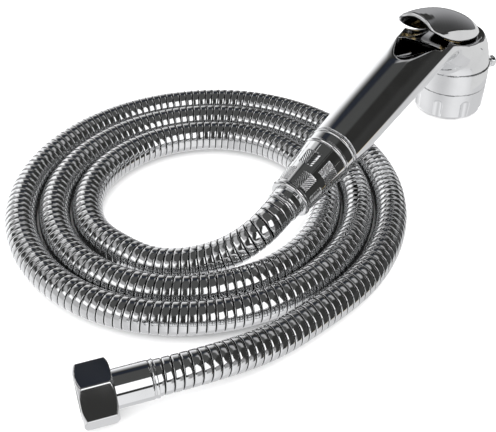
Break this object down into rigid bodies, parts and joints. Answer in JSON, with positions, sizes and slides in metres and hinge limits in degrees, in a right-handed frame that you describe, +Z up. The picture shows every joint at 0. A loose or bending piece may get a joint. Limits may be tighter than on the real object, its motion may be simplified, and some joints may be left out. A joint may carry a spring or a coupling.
{
  "type": "handheld bath sprayer",
  "caption": "Handheld bath sprayer with a domed head, grip-fluted spray ring, thumb lever valve and sloping handle, on a coiled ribbed metal hose with a hex tap nut.",
  "frame": {"origin": "on the floor under the spray head's axis, in the middle of the flat spray face that the head stands on", "axes": "+Z up along the head's axis, +X forward out of the head, away from the handle and hose"},
  "size_m": [0.2963, 0.1803, 0.074],
  "materials": {
    "chrome": "polished",
    "chrome_ring": "polished",
    "chrome_lever": "polished",
    "chrome_nut": "polished",
    "hose": "polished",
    "brass": "machined",
    "steel": "turned",
    "rubber": "matt",
    "face_plastic": "moulded"
  },
  "bodies": {
    "handset": {"body": "chrome", "valve_gland": "brass", "gland_oring": "rubber", "nozzle_hub": "brass", "hub_oring": "rubber", "head_band": "chrome", "band_peg": "chrome", "valve_spring": "steel", "lever_pin": "steel", "inlet_nipple": "brass", "nipple_oring": "rubber", "handle_collar": "chrome", "inlet_washer": "rubber", "sleeve_ferrule": "chrome", "sleeve_barb": "brass", "hose_lead": "hose", "hose_coil": "hose", "hose_tail": "hose", "tap_ferrule": "chrome", "tap_barb": "brass", "tap_washer": "rubber"},
    "lever": {"lever": "chrome_lever"},
    "valve": {"valve_stem": "steel", "valve_seal": "rubber"},
    "spray_ring": {"spray_ring": "chrome_ring", "spray_face": "face_plastic", "face_gasket": "rubber"},
    "sleeve_nut": {"sleeve_nut": "chrome_nut"},
    "hex_nut": {"hex_nut": "chrome_nut"}
  },
  "joints": [
    {"name": "lever_hinge", "type": "hinge", "parent": "handset", "child": "lever", "pos_m": [0.0055, 0, 0.039], "axis": [0, -1, 0], "range_deg": [0, 6], "stiffness_Nm_per_rad": 0.25, "springref_deg": -17.19},
    {"name": "valve_slide", "type": "slide", "parent": "handset", "child": "valve", "axis": [0, 0, -1], "range_m": [0, 0.001], "deforming": ["valve_spring"]},
    {"name": "ring_turn", "type": "hinge", "parent": "handset", "child": "spray_ring", "pos_m": [0, 0, 0.0125], "axis": [0, 0, 1], "range_deg": [0, 90]},
    {"name": "sleeve_nut_turn", "type": "hinge", "parent": "handset", "child": "sleeve_nut", "pos_m": [-0.13375, 0, 0.02895], "axis": [-0.9763, 0, -0.2164], "continuous": true},
    {"name": "hex_nut_turn", "type": "hinge", "parent": "handset", "child": "hex_nut", "pos_m": [-0.26347, 0.00033, 0.01142], "axis": [-0.8387, 0.5446, 0], "continuous": true}
  ],
  "couplings": [
    {"joint": "valve_slide", "follows": "lever_hinge", "m_per_rad": 0.0095}
  ]
}
